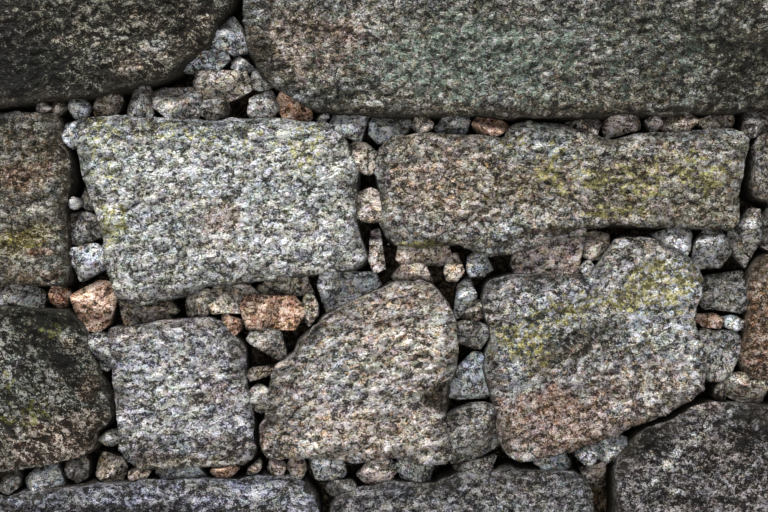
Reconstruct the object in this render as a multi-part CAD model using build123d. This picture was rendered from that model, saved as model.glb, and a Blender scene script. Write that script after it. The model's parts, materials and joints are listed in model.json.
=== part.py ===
from build123d import *
from collections import namedtuple
from math import pi, sin
import os

# A free-standing stretch of dry-laid granite wall. Its blocks go through the whole thickness, small
# pinnings are wedged into the joints from both faces, and packing fills the joints between them.
# Lengths are in millimetres. The wall runs along X, its photographed face looks along -Y, and its
# origin is on the ground under the middle.

wall_thickness = 450

# Heights of the courses, from one bed level to the next
base_height = 314
lower_height = 350
upper_height = 374
top_height = 376

# Widths of the stones, from one joint line to the next. The top course sets the length of the wall,
# and the last stone of every other course closes it.
top_left_width = 780
top_middle_width = 1090
top_right_width = 266
upper_left_width = 446
upper_square_width = 592
upper_long_width = 762
lower_left_width = 508
lower_square_width = 304
lower_sloping_width = 428
lower_deep_width = 510
base_left_width = 264
base_long_width = 684
base_middle_width = 556

# How a block is dressed: its sharp corners are cut, its arrises draw in towards the face, and the face
# swells to a flat boss. The limits are shares of the edge that a cut or a draw is taken from.
corner_cut = 15
cut_limit_share = 0.4
sharp_turn = pi / 5
shortest_edge = 11
arris_draw = 8
draw_limit_share = 0.9
arris_depth = 55
boss_rise = 12
boss_share = 0.66
boss_shift = 14

# Pinnings and packing
pin_gap = 4
pin_reach = 118
pin_taper_depth = 20
pin_head_draw = 7
pin_corner_cut = 8
pin_corner_run = 17
pin_shortest_edge = 13
pin_lean = 0.17
lean_pace = 37
pin_setbacks = (14, 22, 17, 28, 12, 20)
packing_end_play = 6
packing_crest_play = 12
packing_ground_play = 4

# Points of a bed: distance from the left end of the wall, and height above the bed's level. The floor
# is the top of the stones below the joint, and the roof is the underside of the stones above it.
low_bed_floor = [
    (0, -8), (256, -10), (270, -44), (366, -35), (486, -20), (548, -20), (594, -10), (774, -10),
    (812, -3), (878, -3), (906, -12), (932, -45), (960, -50), (990, -40), (1020, -26), (1074, -15),
    (1172, -19), (1194, 0), (1292, 4), (1324, 14), (1366, 9), (1462, 7), (1486, -26), (1532, 24),
    (1572, 76), (1594, 94), (1650, 112), (1686, 136), (1716, 144), (1836, 138), (2136, 140),
]
low_bed_roof = [
    (0, -1), (300, 1), (366, 14), (414, 20), (482, 43), (552, 26), (578, 10), (708, 14), (800, 17),
    (825, 27), (878, 33), (976, 30), (1008, 24), (1092, 33), (1154, 18), (1208, 17), (1310, 44),
    (1330, 24), (1356, 28), (1444, 46), (1504, 66), (1572, 96), (1634, 119), (1684, 146), (1706, 168),
    (1790, 206), (1804, 192), (1836, 182), (2136, 178),
]
middle_bed_floor = [
    (0, -18), (332, -12), (430, -23), (454, -42), (473, -68), (517, -52), (542, -56), (610, -42),
    (738, -34), (757, -65), (786, -85), (854, -128), (886, -108), (896, -82), (950, -30), (994, -10),
    (1054, 20), (1086, 36), (1152, 39), (1174, 20), (1198, -10), (1214, -42), (1266, 26), (1280, 40),
    (1324, 52), (1432, 52), (1484, 50), (1512, 92), (1540, 131), (1614, 125), (1650, 110), (1696, 66),
    (1709, 44), (1716, 54), (1806, 58), (1832, 96), (2136, 100),
]
middle_bed_roof = [
    (0, 26), (300, 30), (438, 26), (506, 68), (528, 12), (552, -6), (578, -16), (626, -2), (670, 8),
    (714, 28), (758, 30), (812, 39), (920, 50), (1008, 60), (1038, 76), (1042, 146), (1062, 150),
    (1076, 111), (1140, 104), (1218, 113), (1266, 93), (1324, 93), (1356, 100), (1406, 124),
    (1454, 142), (1536, 150), (1612, 143), (1666, 146), (1781, 140), (1824, 202), (1840, 200),
    (1900, 122), (2136, 114),
]
high_bed_floor = [
    (0, 6), (300, 2), (418, 1), (460, -10), (528, -2), (570, -8), (724, -12), (812, -9), (952, -16),
    (976, -28), (994, -48), (1064, -58), (1090, -42), (1160, -40), (1310, -48), (1324, -18),
    (1360, -16), (1424, -17), (1460, -36), (1530, -52), (1580, -38), (1700, -34), (1770, -30),
    (1806, -44), (1836, -40), (2136, -36),
]
high_bed_roof = [
    (0, 14), (300, 11), (366, 18), (446, 30), (496, 36), (578, 54), (626, 70), (658, 88), (670, 106),
    (726, 138), (808, 104), (820, 78), (850, 54), (886, 28), (914, 16), (940, 2), (1040, -2),
    (1126, -6), (1244, -2), (1324, -9), (1422, -9), (1510, -6), (1552, 0), (1634, -6), (1716, 0),
    (1836, 8), (2136, 10),
]
crest = [
    (0, -6), (240, 0), (560, -4), (768, 0), (800, -5), (1120, 0), (1500, -4), (1860, 0), (1884, -7),
    (2136, 0),
]
ground = [(0, 0)]

# Points of an upright joint: share of the course's height, and offset from the joint line. The first
# list is the right side of the stone on the left, and the second is the left side of its neighbour.
top_left_joint = (
    [(0.37, -54), (0.48, -42), (0.55, -24), (0.6, -7), (0.81, -12), (1, -16)],
    [(0.28, 28), (0.34, 14), (0.43, 10), (0.6, 4), (1, 6)],
)
top_right_joint = (
    [(0.07, -6), (0.28, -2), (0.6, -10), (1, -4)],
    [(0.04, 8), (0.33, 10), (0.6, 3), (1, 6)],
)
upper_left_joint = (
    [(0.07, -8), (0.38, -12), (0.51, -14), (0.63, -6), (0.76, -6), (0.86, -18), (0.94, -26)],
    [(0.11, 66), (0.18, 60), (0.24, 62), (0.38, 56), (0.51, 36), (0.64, 18), (0.73, 10), (0.86, 10),
     (0.97, 14)],
)
upper_middle_joint = (
    [(0.2, 0), (0.24, -4), (0.34, -18), (0.47, -26), (0.69, -20), (0.79, -34), (0.87, -44),
     (0.93, -62)],
    [(0.3, 38), (0.36, 26), (0.49, 27), (0.68, 14), (0.78, 16), (0.85, 26)],
)
upper_right_joint = (
    [(0.37, -19), (0.57, -16), (0.73, -7), (0.82, 2), (0.88, 5)],
    [(0.53, 40), (0.54, 24), (0.57, 12), (0.63, 5), (0.7, 10), (0.87, 12)],
)
lower_left_joint = (
    [(0.12, -26), (0.18, -16), (0.24, -12), (0.29, 10), (0.33, 18), (0.44, 8), (0.55, -8),
     (0.69, -26), (0.8, -35)],
    [(0.07, 44), (0.14, 30), (0.32, 26), (0.65, 14), (0.78, 9)],
)
lower_square_joint = (
    [(0.05, -12), (0.13, -4), (0.32, -6), (0.46, -16), (0.6, -22), (0.76, -26)],
    [(0.08, 13), (0.18, 3), (0.27, 3), (0.32, 16), (0.41, 26), (0.54, 22), (0.63, 42)],
)
lower_sloping_joint = (
    [(0.05, -32), (0.22, -42), (0.32, -50), (0.41, -42), (0.51, -40), (0.58, -26), (0.73, -24),
     (0.88, -26)],
    [(0.13, 70), (0.2, 58), (0.31, 52), (0.44, 46), (0.6, 29), (0.69, 34), (0.77, 44), (0.85, 38),
     (0.93, 29), (1.07, 26)],
)
lower_right_joint = (
    [(0.48, -44), (0.6, -36), (0.73, -38), (0.85, -57), (0.91, -57), (1.02, -44), (1.11, -40)],
    [(0.59, 40), (0.68, 34), (0.8, 40), (0.93, 46), (1.06, 50), (1.18, 58)],
)
base_left_joint = ([(0, -4), (0.97, -8)], [(0, 6), (0.86, 6)])
base_middle_joint = ([(0, -4), (0.76, -12), (0.86, -16)], [(0, 8), (0.84, 12)])
base_right_joint = (
    [(0, -8), (0.76, -14), (0.92, -18)],
    [(0, 4), (0.76, 32), (0.94, 29), (1.08, 28)],
)
left_end = ([], [(0, 0), (0.3, 5), (0.6, 0), (1, 4)])
right_end = ([(0, -3), (0.4, 0), (0.7, -6), (1, 0)], [])

# Pinnings of a bed, by distance from the left end. One that leaves part of the joint's height to
# others has its own low and high, above the bed's level.
Pin = namedtuple("Pin", "start end low high", defaults=(None, None))
low_bed_pins = [
    Pin(290, 334), Pin(344, 420), Pin(428, 468), Pin(484, 542), Pin(556, 602), Pin(610, 716),
    Pin(720, 774), Pin(786, 826), Pin(830, 870), Pin(874, 914), Pin(918, 990, low=-12),
    Pin(950, 1012, high=-16), Pin(1016, 1090), Pin(1098, 1174), Pin(1212, 1296), Pin(1366, 1446),
    Pin(1450, 1496, low=22), Pin(1466, 1532, high=18), Pin(1500, 1568, low=22), Pin(1716, 1776),
    Pin(1782, 1850), Pin(1862, 1930), Pin(1944, 2000), Pin(2012, 2100),
]
middle_bed_pins = [
    Pin(44, 128), Pin(140, 228), Pin(240, 378), Pin(396, 434), Pin(438, 522, high=36),
    Pin(530, 662), Pin(666, 714), Pin(718, 812, low=-26), Pin(738, 786, high=-30),
    Pin(816, 930, low=10), Pin(784, 898, low=-58, high=6), Pin(902, 934, high=6),
    Pin(790, 852, high=-62), Pin(938, 1086, high=54), Pin(1034, 1078, low=58),
    Pin(1098, 1188, low=74), Pin(1092, 1166, high=70), Pin(1184, 1218, low=40, high=92),
    Pin(1226, 1294, low=48), Pin(1212, 1256, high=44), Pin(1302, 1452), Pin(1458, 1536, low=80),
    Pin(1454, 1490, high=76), Pin(1612, 1668), Pin(1676, 1780, low=66), Pin(1784, 1838),
    Pin(1842, 1896), Pin(1910, 1990), Pin(2002, 2096),
]
high_bed_pins = [
    Pin(366, 400), Pin(400, 432), Pin(434, 472), Pin(478, 532), Pin(546, 604),
    Pin(608, 694, high=52), Pin(698, 752, high=26), Pin(690, 792, low=30, high=84),
    Pin(662, 738, low=88), Pin(744, 806, low=88), Pin(796, 856, high=44),
    Pin(796, 860, low=48), Pin(860, 924), Pin(928, 958), Pin(962, 1038), Pin(1042, 1120),
    Pin(1124, 1170), Pin(1174, 1244), Pin(1252, 1316), Pin(1430, 1510), Pin(1514, 1584),
    Pin(1594, 1628), Pin(1632, 1702), Pin(1706, 1778), Pin(1782, 1868), Pin(1880, 1950),
    Pin(1962, 2014), Pin(2024, 2100),
]

# Pinnings of an upright joint, by share of the course's height. One that leaves part of the joint's
# width to others has its own low and high, from the joint line.
top_left_pins = [Pin(0.32, 0.53), Pin(0.8, 0.93)]
upper_left_pins = [
    Pin(0.09, 0.28), Pin(0.29, 0.475), Pin(0.485, 0.55, high=8), Pin(0.485, 0.62, low=12),
    Pin(0.81, 0.97),
]
upper_middle_pins = [Pin(0.42, 0.6), Pin(0.68, 0.92)]
lower_left_pins = [Pin(0.16, 0.26), Pin(0.59, 0.82)]
lower_square_pins = [Pin(0.35, 0.52), Pin(0.53, 0.61)]
lower_sloping_pins = [
    Pin(0.05, 0.41, low=-44, high=66), Pin(0.42, 0.69), Pin(0.7, 0.87), Pin(0.88, 1.02),
]
lower_right_pins = [
    Pin(0.54, 0.82), Pin(0.83, 0.92, high=0), Pin(0.83, 0.92, low=4), Pin(0.93, 1.25),
]

# How far each block's boss lies behind the wall's front and back faces
setbacks = {
    "top_left_block": (0, 6),
    "top_middle_block": (2, 0),
    "top_right_block": (4, 3),
    "upper_left_block": (16, 4),
    "upper_square_block": (9, 12),
    "upper_long_block": (14, 6),
    "upper_right_block": (18, 9),
    "lower_left_block": (15, 2),
    "lower_square_block": (12, 10),
    "lower_sloping_block": (8, 14),
    "lower_deep_block": (10, 5),
    "lower_right_block": (18, 12),
    "base_left_block": (6, 8),
    "base_long_block": (10, 3),
    "base_middle_block": (13, 11),
    "base_right_block": (5, 7),
}

wall_height = base_height + lower_height + upper_height + top_height
wall_length = top_left_width + top_middle_width + top_right_width
packing_half = wall_thickness / 2 - pin_reach
packing_inset = corner_cut + packing_end_play


# Lines and outlines, as points (along, up)

def value_at(line, place):
    """The second value of a line at a place: straight between its points, and level past its ends."""
    for (start, low), (end, high) in zip(line, line[1:]):
        if start <= place <= end:
            return low + (high - low) * (place - start) / (end - start)
    return line[0][1] if place < line[0][0] else line[-1][1]


def stretch(line, start, end):
    inner = [point for point in line if start < point[0] < end]
    return [(start, value_at(line, start)), *inner, (end, value_at(line, end))]


def between(line, other, start, end):
    """The outline of what lies between two lines."""
    return stretch(line, start, end) + stretch(other, start, end)[::-1]


def raised(line, level):
    return [(place, level + height) for place, height in line]


def face_of(outline):
    return Face(Wire.make_polygon([(along, up, 0) for along, up in outline], close=True))


def outline_of(face):
    """The corners of a face, anticlockwise."""
    corners = [edge @ 0 for edge in face.outer_wire().order_edges()]
    outline = [(corner.X, corner.Y) for corner in corners]
    return outline if signed_area(outline) > 0 else outline[::-1]


def signed_area(outline):
    ahead = outline[1:] + outline[:1]
    return sum(x * z2 - x2 * z for (x, z), (x2, z2) in zip(outline, ahead)) / 2


def largest(shape):
    return max(shape.faces(), key=lambda face: face.area)


def distance(one, other):
    return ((one[0] - other[0]) ** 2 + (one[1] - other[1]) ** 2) ** 0.5


def mixed(one, other, share):
    return (one[0] + (other[0] - one[0]) * share, one[1] + (other[1] - one[1]) * share)


def turn_at(before, corner, after):
    """Sine of the turn at a corner, positive where an anticlockwise outline turns out."""
    ax, az = corner[0] - before[0], corner[1] - before[1]
    bx, bz = after[0] - corner[0], after[1] - corner[1]
    return (ax * bz - az * bx) / (distance(before, corner) * distance(corner, after))


def without_stubs(outline, shortest):
    """Drops an outward corner of each edge that is too short to dress."""
    points = list(outline)
    for _ in outline:
        for i, point in enumerate(points):
            before, after, later = (points[(i + step) % len(points)] for step in (-1, 1, 2))
            if distance(point, after) >= shortest or len(points) < 5:
                continue
            if turn_at(before, point, after) > 0:
                points.pop(i)
                break
            if turn_at(point, after, later) > 0:
                points.pop((i + 1) % len(points))
                break
        else:
            return points
    return points


def with_cut_corners(outline, cuts):
    """Cuts the corners that turn out sharply: two lengths, which change sides at every other corner."""
    cut_outline = []
    for i, corner in enumerate(outline):
        before, after = outline[i - 1], outline[(i + 1) % len(outline)]
        if turn_at(before, corner, after) < sin(sharp_turn):
            cut_outline.append(corner)
            continue
        for other, cut in zip((before, after), cuts):
            share = min(cut / distance(corner, other), cut_limit_share)
            cut_outline.append(mixed(corner, other, share))
        cuts = cuts[::-1]
    return cut_outline


def middle_of(outline):
    count = len(outline)
    return (sum(point[0] for point in outline) / count, sum(point[1] for point in outline) / count)


def scaled(outline, share, centre):
    return [mixed(centre, point, share) for point in outline]


def drawn_in(outline, draw):
    """The outline with each edge moved inwards by the same distance, less where an edge is short."""
    count = len(outline)
    ahead = [outline[(i + 1) % count] for i in range(count)]
    lengths = [distance(point, after) for point, after in zip(outline, ahead)]
    ways = [
        ((after[0] - point[0]) / length, (after[1] - point[1]) / length)
        for point, after, length in zip(outline, ahead, lengths)
    ]
    spreads = [1 + a[0] * b[0] + a[1] * b[1] for a, b in zip(ways[-1:] + ways[:-1], ways)]
    turns = [
        (a[0] * b[1] - a[1] * b[0]) / spread
        for a, b, spread in zip(ways[-1:] + ways[:-1], ways, spreads)
    ]
    losses = [turns[i] + turns[(i + 1) % count] for i in range(count)]
    limits = [length / loss for length, loss in zip(lengths, losses) if loss > 0]
    draw = min([draw, *(draw_limit_share * limit for limit in limits)])
    inner = []
    for i, (x, z) in enumerate(outline):
        into, out = ways[i - 1], ways[i]
        reach = draw / spreads[i]
        inner.append((x - (into[1] + out[1]) * reach, z + (into[0] + out[0]) * reach))
    return inner


# Solids

def solid_through(sections):
    """A solid through outlines of like corners and parallel edges, each given with its depth."""
    rings = [
        [(along - wall_length / 2, depth, up) for along, up in outline] for depth, outline in sections
    ]
    faces = [Face(Wire.make_polygon(ring, close=True)) for ring in (rings[0], rings[-1])]
    for near, far in zip(rings, rings[1:]):
        for i in range(len(near)):
            side = [near[i - 1], near[i], far[i], far[i - 1]]
            faces.append(Face(Wire.make_polygon(side, close=True)))
    return Solid(Shell(faces))


def block(outline, front_setback, back_setback):
    face_outline = drawn_in(outline, arris_draw)
    x, z = middle_of(face_outline)
    front_boss = scaled(face_outline, boss_share, (x + boss_shift, z - boss_shift))
    back_boss = scaled(face_outline, boss_share, (x - boss_shift, z + boss_shift))
    front = -wall_thickness / 2 + front_setback
    back = wall_thickness / 2 - back_setback
    return solid_through([
        (front, front_boss),
        (front + boss_rise, face_outline),
        (front + boss_rise + arris_depth, outline),
        (back - boss_rise - arris_depth, outline),
        (back - boss_rise, face_outline),
        (back, back_boss),
    ])


def pinning(outline, setback, side):
    """A wedge from the packing towards one face: side is -1 at the front and 1 at the back."""
    head = side * (wall_thickness / 2 - setback)
    sections = [(side * packing_half, outline), (head, drawn_in(outline, pin_head_draw))]
    if side < 0:
        sections.insert(1, (head - side * pin_taper_depth, outline))
    return solid_through(sections)


def packing(outline):
    return solid_through([(-packing_half, outline), (packing_half, outline)])


# Laying out the wall

def levels():
    marks = [0]
    for height in (base_height, lower_height, upper_height, top_height):
        marks.append(marks[-1] + height)
    return marks


def upright(side, line, low, high):
    """A side of an upright joint as points (up, along)."""
    return [(low + (high - low) * share, line + offset) for share, offset in side]


def pin_box(pin, line, nearest, farthest):
    """The box that a pinning is cut from, leaning like its neighbours: points (run, across)."""
    low = nearest if pin.low is None else line + pin.low
    high = farthest if pin.high is None else line + pin.high
    ends = []
    for place, gap in ((pin.start, pin_gap / 2), (pin.end, -pin_gap / 2)):
        lean = pin_lean * sin(place / lean_pace)
        ends.append([(place + gap + lean * (across - line), across) for across in (low, high)])
    return ends[0] + ends[1][::-1]


def bed_pin_outlines(joint_face, pins, level):
    limits = joint_face.bounding_box()
    within = [pin for pin in pins if pin.end < limits.max.X]
    boxes = [pin_box(pin, level, limits.min.Y, limits.max.Y) for pin in within]
    return [pin_outline(joint_face, box) for box in boxes]


def upright_pin_outlines(joint_face, pins, line, low, high):
    limits = joint_face.bounding_box()
    outlines = []
    for pin in pins:
        start, end = (low + (high - low) * share for share in (pin.start, pin.end))
        box = pin_box(pin._replace(start=start, end=end), line, limits.min.X, limits.max.X)
        outlines.append(pin_outline(joint_face, [(along, up) for up, along in box]))
    return outlines


def pin_outline(joint_face, box):
    outline = outline_of(largest(joint_face & face_of(box)))
    outline = without_stubs(outline, pin_shortest_edge)
    return with_cut_corners(outline, (pin_corner_cut, pin_corner_run))


def bed_face(floor, roof):
    return face_of(between(floor, roof, packing_inset, wall_length - packing_inset))


def course_blocks(names, lines, joints, below, above, low, high):
    """The outlines of a course's blocks, between the roof of one bed and the floor of the next."""
    course = face_of(between(below, above, 0, wall_length))
    outlines = {}
    for name, left, right, left_joint, right_joint in zip(
        names, lines, lines[1:], joints, joints[1:]
    ):
        left_side = upright(left_joint[1], left, low, high)
        right_side = upright(right_joint[0], right, low, high)
        bay = between(left_side, right_side, low - wall_height, high + wall_height)
        outline = outline_of(largest(course & face_of([(along, up) for up, along in bay])))
        outline = without_stubs(outline, shortest_edge)
        outlines[name] = with_cut_corners(outline, (corner_cut, corner_cut))
    return outlines


def joint_faces(outlines, below, above):
    """The upright joints that the blocks of a course leave open, from left to right."""
    rest = face_of(between(below, above, packing_inset, wall_length - packing_inset))
    for outline in outlines:
        rest = rest - face_of(outline)
    joints = sorted(rest.faces(), key=lambda face: face.area)[1 - len(outlines):]
    return sorted(joints, key=lambda face: face.center().X)


def write(name, solids):
    export_step(Compound(children=solids) if len(solids) > 1 else solids[0], f"parts/{name}.step")


def write_pins(name, outlines):
    for ending, side in (("front", -1), ("back", 1)):
        depths = [pin_setbacks[(i + (side > 0)) % len(pin_setbacks)] for i in range(len(outlines))]
        pins = [pinning(outline, depth, side) for outline, depth in zip(outlines, depths)]
        write(f"{name}_pinnings_{ending}", pins)


Course = namedtuple("Course", "name stones widths joints pins")
courses = [
    Course(
        "base",
        ("left", "long", "middle", "right"),
        (base_left_width, base_long_width, base_middle_width),
        (base_left_joint, base_middle_joint, base_right_joint),
        {},
    ),
    Course(
        "lower",
        ("left", "square", "sloping", "deep", "right"),
        (lower_left_width, lower_square_width, lower_sloping_width, lower_deep_width),
        (lower_left_joint, lower_square_joint, lower_sloping_joint, lower_right_joint),
        {
            "left": lower_left_pins,
            "square": lower_square_pins,
            "sloping": lower_sloping_pins,
            "deep": lower_right_pins,
        },
    ),
    Course(
        "upper",
        ("left", "square", "long", "right"),
        (upper_left_width, upper_square_width, upper_long_width),
        (upper_left_joint, upper_middle_joint, upper_right_joint),
        {"left": upper_left_pins, "square": upper_middle_pins},
    ),
    Course(
        "top",
        ("left", "middle", "right"),
        (top_left_width, top_middle_width),
        (top_left_joint, top_right_joint),
        {"left": top_left_pins},
    ),
]


def lay_course(course, below, above, low, high):
    names = [f"{course.name}_{stone}_block" for stone in course.stones]
    lines = [sum(course.widths[:count]) for count in range(len(course.widths) + 1)] + [wall_length]
    joints = [left_end, *course.joints, right_end]
    outlines = course_blocks(names, lines, joints, below, above, low, high)
    for name, outline in outlines.items():
        write(name, [block(outline, *setbacks[name])])
    ceiling = raised(above, -packing_crest_play - corner_cut) if course.name == "top" else above
    footing = raised(below, packing_ground_play) if course.name == "base" else below
    openings = joint_faces(outlines.values(), footing, ceiling)
    write(f"{course.name}_joint_packing", [packing(outline_of(opening)) for opening in openings])
    for stone, opening, line in zip(course.stones, openings, lines[1:]):
        if stone in course.pins:
            outlines = upright_pin_outlines(opening, course.pins[stone], line, low, high)
            write_pins(f"{course.name}_{stone}_joint", outlines)


def lay_bed(name, level, floor, roof, pins):
    opening = bed_face(floor, roof)
    write(f"{name}_packing", [packing(outline_of(opening))])
    write_pins(name, bed_pin_outlines(opening, pins, level))


def lay_wall():
    marks = levels()
    low_floor, low_roof = (raised(line, marks[1]) for line in (low_bed_floor, low_bed_roof))
    middle_floor, middle_roof = (
        raised(line, marks[2]) for line in (middle_bed_floor, middle_bed_roof)
    )
    high_floor, high_roof = (raised(line, marks[3]) for line in (high_bed_floor, high_bed_roof))
    below = [ground, low_roof, middle_roof, high_roof]
    above = [low_floor, middle_floor, high_floor, raised(crest, marks[4])]
    for i, course in enumerate(courses):
        lay_course(course, below[i], above[i], marks[i], marks[i + 1])
    lay_bed("low_bed", marks[1], low_floor, low_roof, low_bed_pins)
    lay_bed("middle_bed", marks[2], middle_floor, middle_roof, middle_bed_pins)
    lay_bed("high_bed", marks[3], high_floor, high_roof, high_bed_pins)


os.makedirs("parts", exist_ok=True)
lay_wall()
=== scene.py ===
import json
from collections import namedtuple

import bmesh
import bpy
import numpy as np
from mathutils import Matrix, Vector
from mathutils.geometry import delaunay_2d_cdt
from mathutils.kdtree import KDTree

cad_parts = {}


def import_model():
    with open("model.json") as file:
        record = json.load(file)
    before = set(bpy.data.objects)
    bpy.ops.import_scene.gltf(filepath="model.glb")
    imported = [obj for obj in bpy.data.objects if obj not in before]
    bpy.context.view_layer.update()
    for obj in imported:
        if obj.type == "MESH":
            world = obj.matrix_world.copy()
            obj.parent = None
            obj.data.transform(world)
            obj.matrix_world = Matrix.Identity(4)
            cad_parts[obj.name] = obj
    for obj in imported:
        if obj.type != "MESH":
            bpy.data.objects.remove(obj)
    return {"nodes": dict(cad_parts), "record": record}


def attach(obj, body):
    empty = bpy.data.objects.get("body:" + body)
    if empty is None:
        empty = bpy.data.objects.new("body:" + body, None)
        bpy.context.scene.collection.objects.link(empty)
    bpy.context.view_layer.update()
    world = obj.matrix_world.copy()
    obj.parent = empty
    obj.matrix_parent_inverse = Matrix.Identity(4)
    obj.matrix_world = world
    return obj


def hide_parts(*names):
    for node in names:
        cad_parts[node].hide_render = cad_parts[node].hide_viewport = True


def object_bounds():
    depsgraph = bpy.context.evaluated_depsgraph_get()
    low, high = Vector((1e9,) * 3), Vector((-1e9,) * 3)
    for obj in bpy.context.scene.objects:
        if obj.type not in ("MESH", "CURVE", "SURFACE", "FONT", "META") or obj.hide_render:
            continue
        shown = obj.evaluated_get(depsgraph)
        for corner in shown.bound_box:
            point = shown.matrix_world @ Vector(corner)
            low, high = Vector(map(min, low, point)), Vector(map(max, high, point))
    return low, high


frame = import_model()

# A stretch of dry-laid granite wall. Each stone of the CAD model is dressed here: its outline is kept, and
# its faces get the rounded arrises, the broken relief and the weathered colours of real stone, with shade
# painted into their hollows, creases and joints. Lengths are in metres, apart from the places of marks and
# pinnings, which are in millimetres from the middle of the wall's foot. Colours are written as sRGB, from 0
# to 255.

cad_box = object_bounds()
wall_low, wall_high = cad_box

# The part of the front that the camera sees, where the stones are dressed most finely
view_left, view_right = -0.79, 0.79
view_foot, view_top = 0.22, 1.285


# Stones of the CAD model

Solid = namedtuple("Solid", "outline front back")
weld_distance = 1e-5


def cad_solids(node):
    """The solids of a node, each with its widest outline (along, up) and where it begins and ends."""
    mesh = bmesh.new()
    mesh.from_mesh(frame["nodes"][node].data)
    bmesh.ops.remove_doubles(mesh, verts=mesh.verts, dist=weld_distance)
    mesh.verts.ensure_lookup_table()
    done = set()
    solids = []
    for corner in mesh.verts:
        if corner in done:
            continue
        solid_corners = connected_to(corner)
        done |= solid_corners
        depths = sorted({depth_of(corner) for corner in solid_corners})
        outlines = [outline_at(depth, solid_corners) for depth in depths]
        solids.append(Solid(max(outlines, key=area_of), depths[0], depths[-1]))
    mesh.free()
    return solids


def depth_of(corner):
    """A corner's place through the wall, to a tenth of a millimetre."""
    return round(corner.co.y, 4)


def connected_to(corner):
    found, edge_of_search = {corner}, [corner]
    while edge_of_search:
        here = edge_of_search.pop()
        for edge in here.link_edges:
            there = edge.other_vert(here)
            if there not in found:
                found.add(there)
                edge_of_search.append(there)
    return found


def outline_at(depth, corners):
    """The ring of a solid's corners at one depth, anticlockwise as seen from the front."""
    def is_ring(edge):
        level = all(depth_of(end) == depth for end in edge.verts)
        return level and any(depth_of(v) != depth for face in edge.link_faces for v in face.verts)

    at_level = [corner for corner in corners if depth_of(corner) == depth]
    here = start = min(at_level, key=lambda corner: corner.index)
    before, ring = None, []
    while not ring or here is not start:
        ring.append((here.co.x, here.co.z))
        ahead = [e.other_vert(here) for e in here.link_edges if is_ring(e)]
        onward = next(there for there in ahead if there is not before)
        before, here = here, onward
    outline = np.array(ring)
    return outline if signed_area(outline) > 0 else outline[::-1]


def signed_area(outline):
    ahead = np.roll(outline, -1, axis=0)
    return np.sum(outline[:, 0] * ahead[:, 1] - ahead[:, 0] * outline[:, 1]) / 2


def area_of(outline):
    return abs(signed_area(outline))


# Noise, for relief and for the edges of stains

lattice = np.random.default_rng(11)
lattice_size = 256
shuffled = np.tile(lattice.permutation(lattice_size), 2)
slopes = lattice.normal(size=(lattice_size, 3))
slopes /= np.linalg.norm(slopes, axis=1)[:, None]
seed_shift, noise_gain = 17.37, 1.6


def noise(places, size, seed):
    """Smooth noise between about -1 and 1, with lumps of a given size."""
    scaled = places / size + seed * seed_shift
    cell = np.floor(scaled).astype(int)
    inside = scaled - cell
    ease = inside ** 3 * (inside * (inside * 6 - 15) + 10)
    total = np.zeros(len(places))
    for step in np.ndindex(2, 2, 2):
        x, y, z = (cell + step).T % lattice_size
        slope = slopes[shuffled[shuffled[shuffled[x] + y] + z]]
        share = np.prod(np.where(step, ease, 1 - ease), axis=1)
        total += share * np.sum(slope * (inside - step), axis=1)
    return total * noise_gain


def layered(places, layers, seed):
    """A sum of noises, whose layers each have a size, a strength and a shift of the seed."""
    return sum(strength * noise(places, size, seed + shift) for size, strength, shift in layers)


def ramp(values, low, high):
    """Eases from 0 at low to 1 at high."""
    share = np.clip((values - low) / (high - low), 0, 1)
    return share * share * (3 - 2 * share)


# Dressing a stone: how far apart its points lie, how its outline and its arris are rounded and roughened,
# how wide the dark fringe of its face is, of dirt and painted shade, and whether it is compact, as a pinning
# is.

Dressing = namedtuple(
    "Dressing",
    "face_step edge_step side_step back_step arris arris_depth fringe clearance softening wobble compact",
    defaults=(0, 0, 0, False),
)
block_dressing = Dressing(
    face_step=0.0037, edge_step=0.0044, side_step=0.028, back_step=0.0115, arris=0.005, arris_depth=0.007,
    fringe=0.03, clearance=-0.0006, softening=0.002, wobble=0.0028,
)
pin_dressing = Dressing(
    face_step=0.0033, edge_step=0.0033, side_step=0.03, back_step=0.012, arris=0.0016, arris_depth=0.003,
    fringe=0.008, clearance=-0.0038, softening=0.0004, wobble=0.0018, compact=True,
)
packing_dressing = Dressing(
    face_step=0.009, edge_step=0.011, side_step=0.06, back_step=0.018, arris=0.002, arris_depth=0.002,
    fringe=0.01,
)

# Where a stone is hardly seen, its points lie wider apart
inner_block_dressing = block_dressing._replace(side_step=0.06)
back_pin_dressing = pin_dressing._replace(face_step=0.0055, edge_step=0.005)

fewest_edge_points = 14


def evenly(outline, step):
    closed = np.vstack([outline, outline[:1]])
    marks = np.concatenate([[0], np.cumsum(np.linalg.norm(np.diff(closed, axis=0), axis=1))])
    count = max(int(marks[-1] / step), fewest_edge_points)
    places = np.linspace(0, marks[-1], count, endpoint=False)
    return np.stack([np.interp(places, marks, closed[:, axis]) for axis in (0, 1)], 1)


def divided(outline, step):
    """The outline with all its corners, and more points along its long edges."""
    points = []
    for corner, after in zip(outline, np.roll(outline, -1, axis=0)):
        count = int(np.linalg.norm(after - corner) / step) + 1
        points += [corner + (after - corner) * i / count for i in range(count)]
    return np.array(points)


def softened(outline, share):
    """An even outline with its corners rounded; share is the radius in steps."""
    turns = np.fft.fftfreq(len(outline))
    path = np.fft.fft(outline[:, 0] + 1j * outline[:, 1]) * np.exp(-2 * (np.pi * turns * share) ** 2)
    path = np.fft.ifft(path)
    return np.stack([path.real, path.imag], 1)


# A pinning is made longer, and its corners are broken off by shares of its length, along leaning lines
pin_stretch = (1.09, 1)
chip_least, chip_most, chip_lean = 0.04, 0.19, 32


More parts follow.
